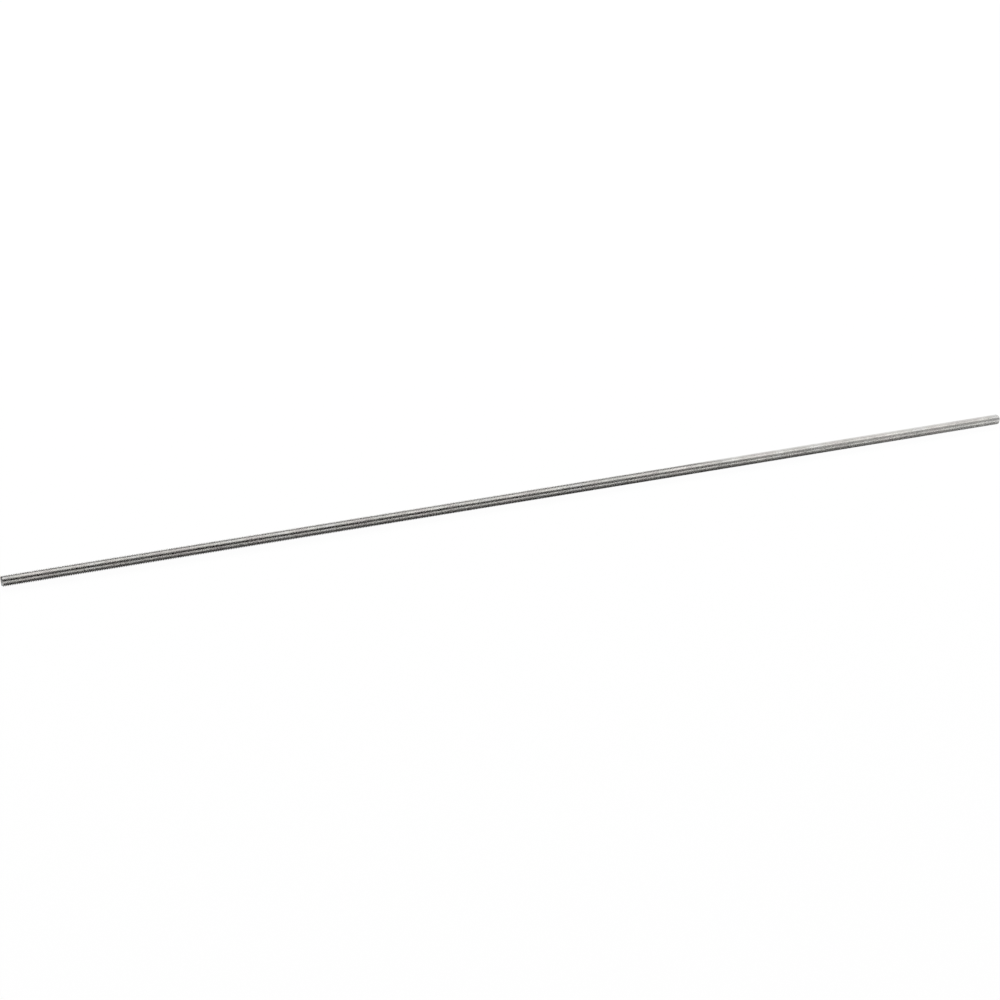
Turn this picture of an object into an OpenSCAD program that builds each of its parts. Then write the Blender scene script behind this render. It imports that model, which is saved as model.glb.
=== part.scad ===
// Threaded rod: one straight steel bar with a thread over its whole length.
// The bar lies along X, and the origin is the middle of its axis.

/* [Rod] */
// Length from one end face to the other
rod_length = 1000; // [100:50:1500]

/* [Thread] */
// Diameter over the crests
major_d = 10; // [6:0.5:20]
// Distance along the bar from one crest to the next
pitch = 1.5; // [1:0.25:2.5]
// Angle between the two sides of a groove
groove_angle = 60; // [55:5:60]

/* [Ends] */
// Width of the 45 degree chamfer around each end face
chamfer = 1.25; // [0.25:0.25:2]

/* [Hidden] */

// A groove with a sharp bottom and sharp crests would be this deep
sharp_depth = pitch / 2 / tan(groove_angle / 2);
// The crests lose an eighth of that depth, and the bottom of the groove fills a sixth of it
crest_share = 1 / 8;
root_share = 1 / 6;
thread_depth = sharp_depth * (1 - crest_share - root_share);
crest_flat = pitch * crest_share;
root_flat = pitch * root_share;

crest_r = major_d / 2;
root_r = crest_r - thread_depth;
end_r = crest_r - chamfer;
half_length = rod_length / 2;

// The row of crests overruns both ends, and is then cut to length
turns = ceil(rod_length / pitch) + 2;
row_end = turns * pitch / 2;
cutter_margin = 1;
round_steps = 48;
zinc_grey = [0.68, 0.68, 0.66];

// One turn in section: radius and place along the bar, from the middle of one groove to the next
turn_corners = [
  [root_r, root_flat / 2],
  [crest_r, (pitch - crest_flat) / 2],
  [crest_r, (pitch + crest_flat) / 2],
  [root_r, pitch - root_flat / 2]
];

// Half of the lengthwise section of an endless bar. The thread climbs only 3 degrees,
// so each turn is drawn as a closed ring.
module thread_section() {
  rings = [
    for (turn = [0:turns - 1], corner = turn_corners)
      [corner.x, turn * pitch - row_end + corner.y]
  ];
  polygon(concat([[0, -row_end], [root_r, -row_end]], rings, [[root_r, row_end], [0, row_end]]));
}

// Half of the lengthwise section of the cut bar: square ends, chamfered below the grooves
module cut_section() {
  outer_r = crest_r + cutter_margin;
  outer_half = half_length - chamfer - cutter_margin;
  polygon([
    [0, -half_length],
    [end_r, -half_length],
    [outer_r, -outer_half],
    [outer_r, outer_half],
    [end_r, half_length],
    [0, half_length]
  ]);
}

module threaded_rod() {
  color(zinc_grey)
    rotate([0, 90, 0])
      rotate_extrude($fn = round_steps)
        intersection() {
          thread_section();
          cut_section();
        }
}

threaded_rod();
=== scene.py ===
import math

import bmesh
import bpy
import numpy as np
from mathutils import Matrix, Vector


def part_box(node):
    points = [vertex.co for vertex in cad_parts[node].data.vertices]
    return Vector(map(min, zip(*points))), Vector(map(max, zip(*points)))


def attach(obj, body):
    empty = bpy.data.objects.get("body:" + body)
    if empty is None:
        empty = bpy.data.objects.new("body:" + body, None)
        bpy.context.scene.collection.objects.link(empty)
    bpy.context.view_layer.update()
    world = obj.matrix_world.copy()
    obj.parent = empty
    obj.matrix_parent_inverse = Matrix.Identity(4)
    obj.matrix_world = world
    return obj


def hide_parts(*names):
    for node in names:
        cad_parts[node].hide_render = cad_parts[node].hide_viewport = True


# One metre of threaded steel rod, lying along X with the middle of its axis at the origin.
# The rod is one mesh: a right-hand thread wound over its whole length, then cut square and chamfered.

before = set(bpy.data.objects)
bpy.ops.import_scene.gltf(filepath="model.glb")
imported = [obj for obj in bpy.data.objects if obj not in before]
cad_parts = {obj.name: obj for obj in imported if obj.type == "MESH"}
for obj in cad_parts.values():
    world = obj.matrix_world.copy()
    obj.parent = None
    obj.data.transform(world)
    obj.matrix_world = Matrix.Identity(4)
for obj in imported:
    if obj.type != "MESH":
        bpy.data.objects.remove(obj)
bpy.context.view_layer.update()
lowCorner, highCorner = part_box("threaded_rod")
halfLength = highCorner.x
crestRadius = highCorner.z
floorLevel = lowCorner.z
rodSize = [round(2000 * half, 2) for half in (halfLength, crestRadius)]
print("frame loaded: rod length and diameter in mm", rodSize)


def meshFrom(name, points, faces):
    mesh = bpy.data.meshes.new(name)
    mesh.from_pydata(points, [], faces)
    work = bmesh.new()
    work.from_mesh(mesh)
    bmesh.ops.recalc_face_normals(work, faces=work.faces)
    work.to_mesh(mesh)
    work.free()
    return mesh


def addObject(name, mesh):
    obj = bpy.data.objects.new(name, mesh)
    bpy.context.scene.collection.objects.link(obj)
    return obj


# ---- shader nodes

def newNode(tree, kind, **settings):
    node = tree.nodes.new("ShaderNode" + kind)
    for key, value in settings.items():
        setattr(node, key, value)
    return node


def put(tree, socket, value):
    # a socket takes a link from another socket, or a fixed value
    if isinstance(value, bpy.types.NodeSocket):
        tree.links.new(value, socket)
    else:
        socket.default_value = value


def maths(tree, operation, *values):
    node = newNode(tree, "Math", operation=operation)
    for socket, value in zip(node.inputs, values):
        put(tree, socket, value)
    return node.outputs[0]


def ranged(tree, value, fromMin, fromMax, toMin, toMax):
    node = newNode(tree, "MapRange")
    for socket, entry in zip(node.inputs, (value, fromMin, fromMax, toMin, toMax)):
        put(tree, socket, entry)
    return node.outputs["Result"]


def mixed(tree, share, first, second, blend="MIX"):
    node = newNode(tree, "Mix", data_type="RGBA", blend_type=blend)
    colours = [socket for socket in node.inputs if socket.type == "RGBA"]
    put(tree, node.inputs["Factor"], share)
    put(tree, colours[0], first)
    put(tree, colours[1], second)
    return next(socket for socket in node.outputs if socket.type == "RGBA")


def separated(tree, vector):
    node = newNode(tree, "SeparateXYZ")
    put(tree, node.inputs[0], vector)
    return node.outputs


def combined(tree, *values):
    node = newNode(tree, "CombineXYZ")
    for socket, value in zip(node.inputs, values):
        put(tree, socket, value)
    return node.outputs[0]


def noise(tree, vector, scale=1, detail=2, roughness=0.5):
    node = newNode(tree, "TexNoise")
    put(tree, node.inputs["Vector"], vector)
    put(tree, node.inputs["Scale"], scale)
    node.inputs["Detail"].default_value = detail
    node.inputs["Roughness"].default_value = roughness
    return node.outputs["Fac"]


def objectPlace(tree):
    return newNode(tree, "TexCoord").outputs["Object"]


def rodPlace(tree):
    # where a point lies on the rod: along it, and out from its axis in the two directions across it
    return separated(tree, objectPlace(tree))


def outFromAxis(tree, place):
    squares = [maths(tree, "MULTIPLY", side, side) for side in place[1:3]]
    return maths(tree, "SQRT", maths(tree, "ADD", *squares))


# ---- effects that both finishes share

def newGroup(name, inputs, outputs):
    tree = bpy.data.node_groups.new(name, "ShaderNodeTree")
    for label, value in inputs.items():
        socket = tree.interface.new_socket(label, in_out="INPUT", socket_type="NodeSocketFloat")
        socket.default_value = value
    for label, kind in outputs.items():
        tree.interface.new_socket(label, in_out="OUTPUT", socket_type="NodeSocket" + kind)
    given = tree.nodes.new("NodeGroupInput").outputs
    result = tree.nodes.new("NodeGroupOutput").inputs
    return tree, given, result


def useGroup(tree, group, values):
    node = newNode(tree, "Group", node_tree=group)
    for label, value in values.items():
        put(tree, node.inputs[label], value)
    return node.outputs


def makeHeight():
    # 0 at the inner radius, 1 at the outer one
    inputs = {"Inner Radius": 0.004, "Outer Radius": 0.005}
    tree, given, result = newGroup("height", inputs, {"Height": "Float"})
    out = outFromAxis(tree, rodPlace(tree))
    put(tree, result["Height"], ranged(tree, out, given["Inner Radius"], given["Outer Radius"], 0, 1))
    return tree


def makeToolLines():
    # fine lines round the rod, which dies or a cutting wheel leave
    inputs = {"Line Spacing": 0.0001, "Line Length": 0.004}
    tree, given, result = newGroup("toolLines", inputs, {"Lines": "Float"})
    place = rodPlace(tree)
    across = maths(tree, "ADD", place[0], outFromAxis(tree, place))
    stretched = combined(
        tree,
        maths(tree, "DIVIDE", across, given["Line Spacing"]),
        maths(tree, "DIVIDE", place[1], given["Line Length"]),
        maths(tree, "DIVIDE", place[2], given["Line Length"]),
    )
    put(tree, result["Lines"], noise(tree, stretched, detail=3))
    return tree


def makeTarnish():
    # dull and bright patches, a slow change along the rod, and the grain of the plating
    inputs = {"Patch Size": 0.012, "Drift Size": 0.09, "Grain Size": 0.0005}
    outputs = {"Patches": "Float", "Drift": "Float", "Grain": "Float"}
    tree, given, result = newGroup("tarnish", inputs, outputs)
    place = objectPlace(tree)
    # the drift reads the noise along one straight line, so it is the same all round the rod
    along = combined(tree, rodPlace(tree)[0], 0.37, 0.11)
    patches = noise(tree, place, maths(tree, "DIVIDE", 1, given["Patch Size"]), detail=4, roughness=0.6)
    drift = noise(tree, along, maths(tree, "DIVIDE", 1, given["Drift Size"]), detail=2)
    grain = noise(tree, place, maths(tree, "DIVIDE", 1, given["Grain Size"]), detail=2)
    for label, value in (("Patches", patches), ("Drift", drift), ("Grain", grain)):
        put(tree, result[label], ranged(tree, value, 0.3, 0.7, 0, 1))
    return tree


def makeKnocks():
    # small dents, and scrapes that run along the rod
    inputs = {"Dent Size": 0.0014, "Scrape Length": 0.03, "Scrape Width": 0.0005, "Amount": 0.5}
    tree, given, result = newGroup("knocks", inputs, {"Dents": "Float", "Scrapes": "Float"})
    place = rodPlace(tree)
    dents = noise(tree, objectPlace(tree), maths(tree, "DIVIDE", 1, given["Dent Size"]), detail=1)
    stretched = combined(
        tree,
        maths(tree, "DIVIDE", place[0], given["Scrape Length"]),
        maths(tree, "DIVIDE", place[1], given["Scrape Width"]),
        maths(tree, "DIVIDE", place[2], given["Scrape Width"]),
    )
    scrapes = noise(tree, stretched, detail=1)
    # only the peaks of the noise count, and a larger amount lets lower ones through
    start = maths(tree, "SUBTRACT", 0.8, maths(tree, "MULTIPLY", given["Amount"], 0.2))
    full = maths(tree, "ADD", start, 0.05)
    put(tree, result["Dents"], ranged(tree, dents, start, full, 0, 1))
    put(tree, result["Scrapes"], ranged(tree, scrapes, start, full, 0, 1))
    return tree


def makeTint():
    # the faint pink, straw and green of thin clear plating, as a colour to multiply by
    tree, given, result = newGroup("tint", {"Patch Size": 0.03, "Strength": 0.5}, {"Tint": "Color"})
    hue = noise(tree, objectPlace(tree), maths(tree, "DIVIDE", 1, given["Patch Size"]), detail=2)
    ramp = newNode(tree, "ValToRGB")
    put(tree, ramp.inputs[0], hue)
    tints = [
        (0.35, (1.0, 0.95, 0.95)),
        (0.47, (1.0, 0.99, 0.95)),
        (0.55, (0.97, 1.0, 0.95)),
        (0.66, (0.96, 0.98, 1.0)),
    ]
    marks = ramp.color_ramp.elements
    for mark in tints[2:]:
        marks.new(mark[0])
    for mark, (position, colour) in zip(marks, tints):
        mark.position = position
        mark.color = (*colour, 1)
    put(tree, result["Tint"], mixed(tree, given["Strength"], (1, 1, 1, 1), ramp.outputs["Color"]))
    return tree


height = makeHeight()
toolLines = makeToolLines()
tarnish = makeTarnish()
knocks = makeKnocks()
tint = makeTint()


def newMetal(name):
    material = bpy.data.materials.new(name)
    material.use_nodes = True
    tree = material.node_tree
    shader = tree.nodes["Principled BSDF"]
    shader.inputs["Metallic"].default_value = 1
    return material, tree, shader.inputs


def shaded(tree, colour, value, low, high):
    # colour times a grey that runs from low to high
    grey = ranged(tree, value, 0, 1, low, high)
    return mixed(tree, 1, colour, combined(tree, grey, grey, grey), "MULTIPLY")


def layered(tree, parts, factors):
    # the parts of a surface's relief, each times its factor, added up
    total = 0
    for label, part in parts.items():
        total = maths(tree, "ADD", total, maths(tree, "MULTIPLY", part, factors[label]))
    return total


def bumped(tree, heights, distance):
    node = newNode(tree, "Bump")
    node.inputs["Distance"].default_value = distance
    put(tree, node.inputs["Height"], heights)
    return node.outputs["Normal"]


# ---- thread

thread = {
    "pitch": 0.0015,  # metres from one crest to the next
    "grooveAngle": 60,  # degrees between the two sides of the groove
    "crestFlat": 1 / 8,  # share of the pitch left flat on top
    "rootFlat": 1 / 6,  # share of the pitch left flat at the bottom
    "sides": 36,  # straight steps in one turn
    "spareTurns": 2,  # wound past each end, and cut off
}


def grooveDepth(values):
    sharpDepth = values["pitch"] / 2 / math.tan(math.radians(values["grooveAngle"] / 2))
    return sharpDepth * (1 - values["crestFlat"] - values["rootFlat"])


def turnCount(values):
    return math.ceil(2 * halfLength / values["pitch"]) + 2 * values["spareTurns"]


def threadStart(values):
    return -turnCount(values) * values["pitch"] / 2


def windThread(values):
    pitch, sides = values["pitch"], values["sides"]
    rootRadius = crestRadius - grooveDepth(values)
    # one turn in section, as (radius, share of the pitch), from groove to groove
    corners = [
        (rootRadius, values["rootFlat"] / 2),
        (crestRadius, (1 - values["crestFlat"]) / 2),
        (crestRadius, (1 + values["crestFlat"]) / 2),
        (rootRadius, 1 - values["rootFlat"] / 2),
    ]
    start = threadStart(values)
    step = np.arange(turnCount(values) * sides + 1)
    angle = (step + 0.5) * 2 * math.pi / sides
    lines = []
    for radius, share in corners:
        along = start + pitch * (step / sides + share)
        lines.append(np.column_stack([along, radius * np.cos(angle), radius * np.sin(angle)]))
    count = len(step)
    end = count - 1
    first = [corner * count for corner in range(len(corners))]
    last = [i + end for i in first]
    faces = []
    for a, b in zip(first, first[1:]):
        faces += [(a + i, a + i + 1, b + i + 1, b + i) for i in range(end)]
    # the bottom of the groove joins each turn to the next
    a = first[-1]
    faces += [(a + i, a + i + 1, sides + i + 1, sides + i) for i in range(end - sides)]
    # a fan to a point on the axis closes each ragged end, well outside the rod
    tip = count * len(corners)
    reach = -start + 2 * pitch
    faces += [(tip, i + 1, i) for i in range(sides)]
    faces.append((tip, *first, sides))
    faces += [(tip + 1, a + i, a + i + 1) for i in range(end - sides, end)]
    faces.append((tip + 1, a + end - sides, *last))
    points = np.vstack(lines + [[[-reach, 0, 0], [reach, 0, 0]]])
    return meshFrom("thread", points.tolist(), faces)


# ---- ends

ends = {
    "chamfer": 0.00125,  # metres taken off the edge of each end face, at 45 degrees
    "margin": 0.002,  # how far the cutter stands clear of the crests
    "sides": 72,
    "sliver": 0.000002,  # metres; narrower faces along the cut are closed up
    "sharpAngle": 30,  # degrees; faces that meet at less are shaded as one
}


def endCutter(values):
    chamfer, margin, sides = values["chamfer"], values["margin"], values["sides"]
    inner = crestRadius - chamfer
    outer = crestRadius + margin
    shoulder = halfLength - chamfer - margin
    rings = [(-halfLength, inner), (-shoulder, outer), (shoulder, outer), (halfLength, inner)]
    points = []
    for along, radius in rings:
        for i in range(sides):
            turn = 2 * math.pi * i / sides
            points.append((along, radius * math.cos(turn), radius * math.sin(turn)))
    faces = [tuple(range(sides)), tuple(range(len(points) - sides, len(points)))]
    for ring in range(len(rings) - 1):
        for i in range(sides):
            j = (i + 1) % sides
            a, b = ring * sides, (ring + 1) * sides
            faces.append((a + i, a + j, b + j, b + i))
    return meshFrom("endCutter", points, faces)


# ---- finishes

rolledFinish = {
    "crestColour": (0.83, 0.82, 0.808, 1),
    "grooveColour": (0.7, 0.69, 0.678, 1),
    "seamColour": (0.3, 0.29, 0.28, 1),  # the fold that the dies leave along the crest
    "seamWidth": 0.05,  # share of the pitch
    "seamStrength": 0.6,
    "crest": (0.8, 0.97),  # shares of the groove's height between which the crest begins
    "roughness": (0.26, 0.16),  # in the groove and on the crest
    "patchShade": (0.9, 1.07),
    "driftShade": (0.93, 1.06),
    "dentShade": 0.6,
    "scrapeShade": 1.15,
    "patchRoughness": 0.1,
    "grainRoughness": 0.02,
    "dentRoughness": 0.15,
    "tint": {"Patch Size": 0.022, "Strength": 0.3},
    "tarnish": {"Patch Size": 0.011, "Drift Size": 0.08, "Grain Size": 0.0005},
    "toolLines": {"Line Spacing": 0.00008, "Line Length": 0.004},
    "knocks": {"Dent Size": 0.0015, "Scrape Length": 0.03, "Scrape Width": 0.0004, "Amount": 0.5},
    "relief": {"lines": 0.3, "grain": 0.4, "dents": -4, "scrapes": -0.8, "seam": -3},
    "bumpDepth": 0.000006,  # metres for a relief of 1
}


def acrossThread(tree, values):
    # 0 in the middle of the groove, 0.5 in the middle of the crest, following the turns
    place = rodPlace(tree)
    turn = maths(tree, "DIVIDE", maths(tree, "ARCTAN2", place[2], place[1]), 2 * math.pi)
    along = maths(tree, "DIVIDE", maths(tree, "SUBTRACT", place[0], threadStart(values)), values["pitch"])
    share = maths(tree, "ADD", maths(tree, "SUBTRACT", along, turn), 0.5 / values["sides"])
    return maths(tree, "FRACT", share)


def makeThreadSteel(values):
    material, tree, shader = newMetal("threadSteel")
    radii = {"Inner Radius": crestRadius - grooveDepth(thread), "Outer Radius": crestRadius}
    rise = useGroup(tree, height, radii)["Height"]
    worn = useGroup(tree, tarnish, values["tarnish"])
    lines = useGroup(tree, toolLines, values["toolLines"])["Lines"]
    marks = useGroup(tree, knocks, values["knocks"])
    hue = useGroup(tree, tint, values["tint"])["Tint"]
    onCrest = ranged(tree, rise, *values["crest"], 0, 1)
    dents = maths(tree, "MULTIPLY", marks["Dents"], onCrest)
    scrapes = maths(tree, "MULTIPLY", marks["Scrapes"], onCrest)
    fromSeam = maths(tree, "ABSOLUTE", maths(tree, "SUBTRACT", acrossThread(tree, thread), 0.5))
    seam = ranged(tree, fromSeam, values["seamWidth"] / 2, values["seamWidth"], 1, 0)

    colour = mixed(tree, rise, values["grooveColour"], values["crestColour"])
    colour = mixed(tree, 1, colour, hue, "MULTIPLY")
    colour = shaded(tree, colour, worn["Patches"], *values["patchShade"])
    colour = shaded(tree, colour, worn["Drift"], *values["driftShade"])
    colour = shaded(tree, colour, dents, 1, values["dentShade"])
    colour = shaded(tree, colour, scrapes, 1, values["scrapeShade"])
    seamShare = maths(tree, "MULTIPLY", seam, values["seamStrength"])
    colour = mixed(tree, seamShare, colour, values["seamColour"])
    put(tree, shader["Base Color"], colour)

    grain = values["grainRoughness"]
    rough = ranged(tree, rise, 0, 1, *values["roughness"])
    rough = maths(tree, "ADD", rough, ranged(tree, worn["Patches"], 0, 1, values["patchRoughness"], 0))
    rough = maths(tree, "ADD", rough, ranged(tree, worn["Grain"], 0, 1, -grain, grain))
    rough = maths(tree, "ADD", rough, maths(tree, "MULTIPLY", dents, values["dentRoughness"]))
    put(tree, shader["Roughness"], rough)

    parts = {"lines": lines, "grain": worn["Grain"], "dents": dents, "scrapes": scrapes, "seam": seam}
    relief = layered(tree, parts, values["relief"])
    put(tree, shader["Normal"], bumped(tree, relief, values["bumpDepth"]))
    return material


cutFinish = {
    "faceColour": (0.27, 0.265, 0.257, 1),
    # the colour of the face's rim is painted shade, where the face meets its chamfer
    "paintedEdgeShadeColour": (0.16, 0.157, 0.152, 1),
    "paintedShadeWidth": 0.0004,  # metres over which the face darkens towards its chamfer, a painted shade along that edge
    "roughness": (0.5, 0.34),  # in its dull and its bright patches
    "patchShade": (0.75, 1.1),
    "lineShade": (0.85, 1.12),
    "dentShade": 0.75,
    "tint": {"Patch Size": 0.006, "Strength": 0.5},
    "tarnish": {"Patch Size": 0.003, "Drift Size": 0.08, "Grain Size": 0.0003},
    "toolLines": {"Line Spacing": 0.00012, "Line Length": 0.006},
    "knocks": {"Dent Size": 0.0006, "Scrape Length": 0.002, "Scrape Width": 0.0003, "Amount": 0.35},
    "relief": {"lines": 1, "grain": 0.5, "dents": -3},
    "bumpDepth": 0.000012,  # metres for a relief of 1
}


def makeCutSteel(values):
    material, tree, shader = newMetal("cutSteel")
    inner = crestRadius - ends["chamfer"]
    radii = {"Inner Radius": inner - values["paintedShadeWidth"], "Outer Radius": inner}
    # painted shade: the end face is coloured darker in a thin ring next to its chamfer
    edge = useGroup(tree, height, radii)["Height"]
    worn = useGroup(tree, tarnish, values["tarnish"])
    lines = useGroup(tree, toolLines, values["toolLines"])["Lines"]
    marks = useGroup(tree, knocks, values["knocks"])
    hue = useGroup(tree, tint, values["tint"])["Tint"]

    colour = mixed(tree, edge, values["faceColour"], values["paintedEdgeShadeColour"])
    colour = mixed(tree, 1, colour, hue, "MULTIPLY")
    colour = shaded(tree, colour, worn["Patches"], *values["patchShade"])
    colour = shaded(tree, colour, lines, *values["lineShade"])
    colour = shaded(tree, colour, marks["Dents"], 1, values["dentShade"])
    put(tree, shader["Base Color"], colour)

    put(tree, shader["Roughness"], ranged(tree, worn["Patches"], 0, 1, *values["roughness"]))

    parts = {"lines": lines, "grain": worn["Grain"], "dents": marks["Dents"]}
    relief = layered(tree, parts, values["relief"])
    put(tree, shader["Normal"], bumped(tree, relief, values["bumpDepth"]))
    return material


threadSteel = makeThreadSteel(rolledFinish)
cutSteel = makeCutSteel(cutFinish)
print("finishes made:", len(threadSteel.node_tree.nodes), "and", len(cutSteel.node_tree.nodes), "nodes")

# ---- rod


def closeSlivers(mesh, width):
    work = bmesh.new()
    work.from_mesh(mesh)
    bmesh.ops.remove_doubles(work, verts=work.verts, dist=width)
    bmesh.ops.dissolve_degenerate(work, edges=work.edges, dist=width)
    work.to_mesh(mesh)
    work.free()


mapping = {
    "rows": 12,  # the thread is unrolled in this many lengths, one above the other
    "rowsHeight": 0.9,  # share of the map; the end faces lie above the rows
    "gap": 0.012,  # round each length and each face
    "rowGap": 0.05,  # share of a row left free above and below it
}


def entries(items, name, kind, width=1):
    found = np.empty(len(items) * width, kind)
    items.foreach_get(name, found)
    return found


def layOutMap(mesh, values):
    corners = entries(mesh.vertices, "co", np.float32, 3).reshape(-1, 3)
    corners = corners[entries(mesh.loops, "vertex_index", np.int32)]
    first = entries(mesh.polygons, "loop_start", np.int32)
    count = entries(mesh.polygons, "loop_total", np.int32)
    isCut = np.repeat(entries(mesh.polygons, "material_index", np.int32) == 1, count)
    centres = np.repeat(np.add.reduceat(corners, first) / count[:, None], count, axis=0)
    gap, top = values["gap"], values["rowsHeight"]

    # round the axis, kept in one piece across the seam behind the rod
    middle = np.arctan2(centres[:, 2], centres[:, 1])
    turn = np.arctan2(corners[:, 2], corners[:, 1]) - middle
    turn = (middle + (turn + math.pi) % (2 * math.pi) - math.pi) / (2 * math.pi)
    along = (corners[:, 0] / halfLength + 1) / 2 * values["rows"]
    row = ((centres[:, 0] / halfLength + 1) / 2 * values["rows"]).astype(int)
    row = row.clip(0, values["rows"] - 1)
    u = gap + (along - row) * (1 - 2 * gap)
    v = (row + 0.5 + turn * (1 - 2 * values["rowGap"])) / values["rows"] * top

    # the two end faces side by side
    size = 1 - top
    flat = corners[:, 1:] / (2 * crestRadius) * (size - 2 * gap)
    u = np.where(isCut, flat[:, 0] + size * (0.5 + (centres[:, 0] > 0)), u)
    v = np.where(isCut, flat[:, 1] + top + size / 2, v)
    mesh.uv_layers.new(name="OFBake").data.foreach_set("uv", np.column_stack([u, v]).ravel())


def buildRod():
    wound = addObject("wound", windThread(thread))
    cutter = addObject("cutter", endCutter(ends))
    wound.data.materials.append(threadSteel)
    cutter.data.materials.append(cutSteel)
    cut = wound.modifiers.new("cut", "BOOLEAN")
    cut.operation = "INTERSECT"
    cut.solver = "MANIFOLD"
    cut.object = cutter
    cut.material_mode = "TRANSFER"
    bpy.context.view_layer.update()
    mesh = bpy.data.meshes.new_from_object(wound.evaluated_get(bpy.context.evaluated_depsgraph_get()))
    mesh.name = "rod"
    for spare in (wound, cutter):
        bpy.data.objects.remove(spare)
    closeSlivers(mesh, ends["sliver"])
    mesh.shade_smooth()
    mesh.set_sharp_from_angle(angle=math.radians(ends["sharpAngle"]))
    layOutMap(mesh, mapping)
    return addObject("rod", mesh)


rod = buildRod()
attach(rod, "root")
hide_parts("threaded_rod")
mesh = rod.data
mesh.calc_loop_triangles()
print("rod wound:", len(mesh.vertices), "points,", len(mesh.loop_triangles), "triangles")

# ---- studio

# The walls, boards and strip below show only in the metal, where they make its dark and pale bands.
studio = {
    "floorReach": 6,  # metres from the rod to the floor's edge
    "floorTone": 0.85,
    "floorWhite": 0.975,  # share of the floor that the camera sees as plain white
    "floorWhiteInMetal": 0.02,  # the same share as the metal reflects it
    "worldLight": 0.02,
    "overheadPower": 6.9,
    "overheadSize": (3.2, 1.0),
    "overheadPlace": (0.1, 0.2, 1.5),
    "windowPower": 610,
    "windowSize": (6.0, 2.4),
    "windowPlace": (0, 4.4, 3.4),
    "endPower": 0.42,  # a small lamp that lights the floor beside the right end
    "endSize": (0.1, 0.1),
    "endPlace": (0.68, -0.1, 0.08),
    "endAim": (0.45, 0, 0),
    "wallReach": 2.5,  # metres from the rod to the cloths in front, behind and to the left
    "frontWall": (0.5, 5.8),  # its lower and upper edge at the left
    "frontWallEnd": (-0.2, 5.2),  # and at the right
    "backWall": (0.3, 3.6),  # the lower and upper edge behind and to the left
    "backWallEnd": 1.1,  # it stops short of the rod's right end
    "wallTone": 0.002,
    "leftWallTone": 0.35,
    "veil": ((0.25, 0.5), (-0.5, 0.7), 1.3),  # a grey strip overhead: along and across the rod, and up
    "veilTone": 0.4,
    "boardEnd": 1.5,  # the pale boards beside the right end reach this far along the rod
    "frontBoardStart": (0.42, 0.42),  # where each starts along the rod, at its foot and its top
    "frontBoardFoot": 0.35,  # metres from the rod
    "frontBoardTop": (0.35, 0.6),  # metres from the rod and above the floor
    "frontBoardTone": 0.5,
    "backBoardStart": (0.13, 1.3),
    "backBoardFoot": 0.02,
    "backBoardTop": (0.05, 0.7),  # it leans over the rod
    "backBoardTone": 0.92,
}


def whiteShare(tree, cameraShare, metalShare):
    # how much plain white the camera and the metal see; what lights a dull surface gets none
    path = newNode(tree, "LightPath").outputs
    inMetal = maths(tree, "ADD", path["Is Glossy Ray"], path["Is Transmission Ray"])
    direct = maths(tree, "LESS_THAN", path["Diffuse Depth"], 0.5)
    inMetal = maths(tree, "MULTIPLY", maths(tree, "MULTIPLY", inMetal, direct), metalShare)
    return maths(tree, "ADD", maths(tree, "MULTIPLY", path["Is Camera Ray"], cameraShare), inMetal)


def stageMaterial(name, tone, glow, cameraShare, metalShare):
    material = bpy.data.materials.new(name)
    material.use_nodes = True
    tree = material.node_tree
    tree.nodes.clear()
    diffuse = newNode(tree, "BsdfDiffuse")
    diffuse.inputs["Color"].default_value = (tone, tone, tone, 1)
    emission = newNode(tree, "Emission")
    emission.inputs["Strength"].default_value = glow
    mix = newNode(tree, "MixShader")
    put(tree, mix.inputs[0], whiteShare(tree, cameraShare, metalShare))
    put(tree, mix.inputs[1], diffuse.outputs[0])
    put(tree, mix.inputs[2], emission.outputs[0])
    put(tree, newNode(tree, "OutputMaterial").inputs["Surface"], mix.outputs[0])
    return material


def plainMaterial(name, tone):
    # the metal sees it as an even grey, whatever lights it
    return stageMaterial(name, tone, tone, 1, 1)


def stagePlane(name, corners, material, reflectedOnly=False):
    plane = addObject(name, meshFrom(name, corners, [(0, 1, 2, 3)]))
    plane.data.materials.append(material)
    if reflectedOnly:
        plane.visible_camera = False
        plane.visible_diffuse = False
        plane.visible_shadow = False


def standing(start, end, heights, endHeights):
    return [(*start, heights[0]), (*end, endHeights[0]), (*end, endHeights[1]), (*start, heights[1])]


def buildStage(values):
    reach = values["floorReach"]
    shares = values["floorWhite"], values["floorWhiteInMetal"]
    paper = stageMaterial("paper", values["floorTone"], 1, *shares)
    corners = [(x * reach, y * reach, floorLevel) for x, y in ((-1, -1), (1, -1), (1, 1), (-1, 1))]
    stagePlane("floor", corners, paper)
    cloth = plainMaterial("darkCloth", values["wallTone"])
    reach = values["wallReach"]
    frontLeft, frontRight = (-reach, -reach), (2 * reach, -reach)
    backLeft, backRight = (-reach, reach), (values["backWallEnd"], reach)
    front, back = values["frontWall"], values["backWall"]
    stagePlane("frontWall", standing(frontLeft, frontRight, front, values["frontWallEnd"]), cloth, True)
    stagePlane("backWall", standing(backLeft, backRight, back, back), cloth, True)
    grey = plainMaterial("greyCloth", values["leftWallTone"])
    stagePlane("leftWall", standing(frontLeft, backLeft, back, back), grey, True)
    (left, right), (near, far), above = values["veil"]
    corners = [(left, near, above), (right, near, above), (right, far, above), (left, far, above)]
    stagePlane("veil", corners, plainMaterial("veil", values["veilTone"]), True)
    for name, side in (("frontBoard", -1), ("backBoard", 1)):
        end = values["boardEnd"]
        foot, (top, rise) = values[name + "Foot"] * side, values[name + "Top"]
        footStart, topStart = values[name + "Start"]
        corners = [(footStart, foot, floorLevel), (end, foot, floorLevel)]
        corners += [(end, top * side, rise), (topStart, top * side, rise)]
        stagePlane(name, corners, plainMaterial(name, values[name + "Tone"]), True)


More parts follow.
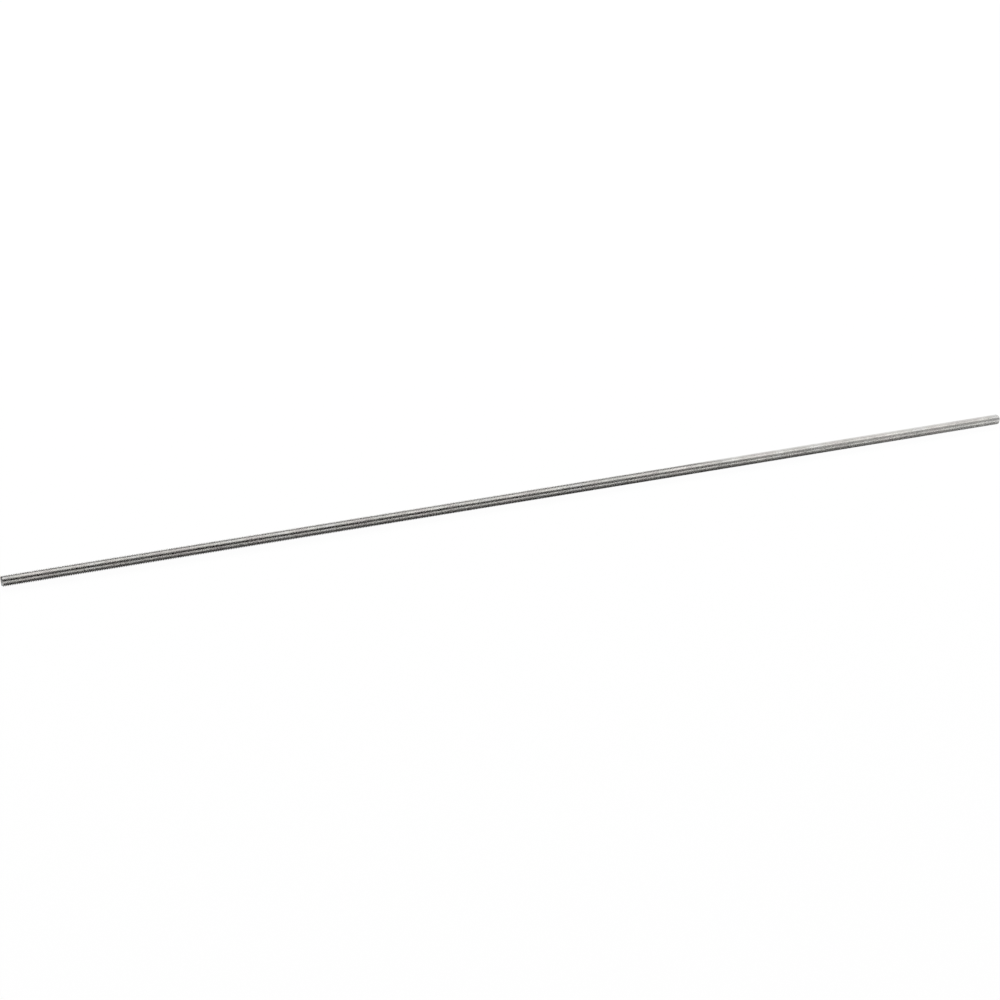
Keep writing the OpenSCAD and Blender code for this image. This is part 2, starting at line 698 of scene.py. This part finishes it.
def lightWorld(values):
    world = bpy.data.worlds.new("room")
    world.use_nodes = True
    bpy.context.scene.world = world
    tree = world.node_tree
    tree.nodes.clear()
    background = newNode(tree, "Background")
    background.inputs["Color"].default_value = (1, 1, 1, 1)
    strength = ranged(tree, whiteShare(tree, 1, 1), 0, 1, values["worldLight"], 1)
    put(tree, background.inputs["Strength"], strength)
    put(tree, newNode(tree, "OutputWorld").inputs["Surface"], background.outputs[0])


buildStage(studio)
lightWorld(studio)


def areaLight(name, place, aim, size, power):
    lamp = bpy.data.lights.new(name, "AREA")
    lamp.shape = "RECTANGLE"
    lamp.size, lamp.size_y = size
    lamp.energy = power
    obj = bpy.data.objects.new(name, lamp)
    obj.location = place
    obj.rotation_mode = "QUATERNION"
    obj.rotation_quaternion = (Vector(aim) - Vector(place)).to_track_quat("-Z", "Y")
    bpy.context.scene.collection.objects.link(obj)
    return obj


middle = (0, 0, 0)
areaLight("overhead", studio["overheadPlace"], middle, studio["overheadSize"], studio["overheadPower"])
window = areaLight("window", studio["windowPlace"], middle, studio["windowSize"], studio["windowPower"])
endLamp = areaLight("endLamp", studio["endPlace"], studio["endAim"], studio["endSize"], studio["endPower"])
for lamp in (window, endLamp):
    lamp.visible_glossy = False
    lamp.visible_camera = False
print("studio built:", len(bpy.data.lights), "lamps")

# ---- camera

view = {
    "azimuth": -19.915,  # degrees; below zero the camera stands to the left
    "elevation": 26.7,  # degrees above level
    "distance": 1.8218,
    "aim": (-0.04074, 0, 0.00011),
    "lens": 70,
    "sensor": 36,
}
turned, up = math.radians(view["azimuth"]), math.radians(view["elevation"])
back = Vector((math.sin(turned) * math.cos(up), -math.cos(turned) * math.cos(up), math.sin(up)))
cameraData = bpy.data.cameras.new("camera")
cameraData.lens = view["lens"]
cameraData.sensor_width = view["sensor"]
camera = bpy.data.objects.new("camera", cameraData)
camera.location = Vector(view["aim"]) + back * view["distance"]
camera.rotation_mode = "QUATERNION"
camera.rotation_quaternion = (-back).to_track_quat("-Z", "Y")
bpy.context.scene.collection.objects.link(camera)
bpy.context.scene.camera = camera
bpy.context.scene.view_settings.view_transform = "Standard"
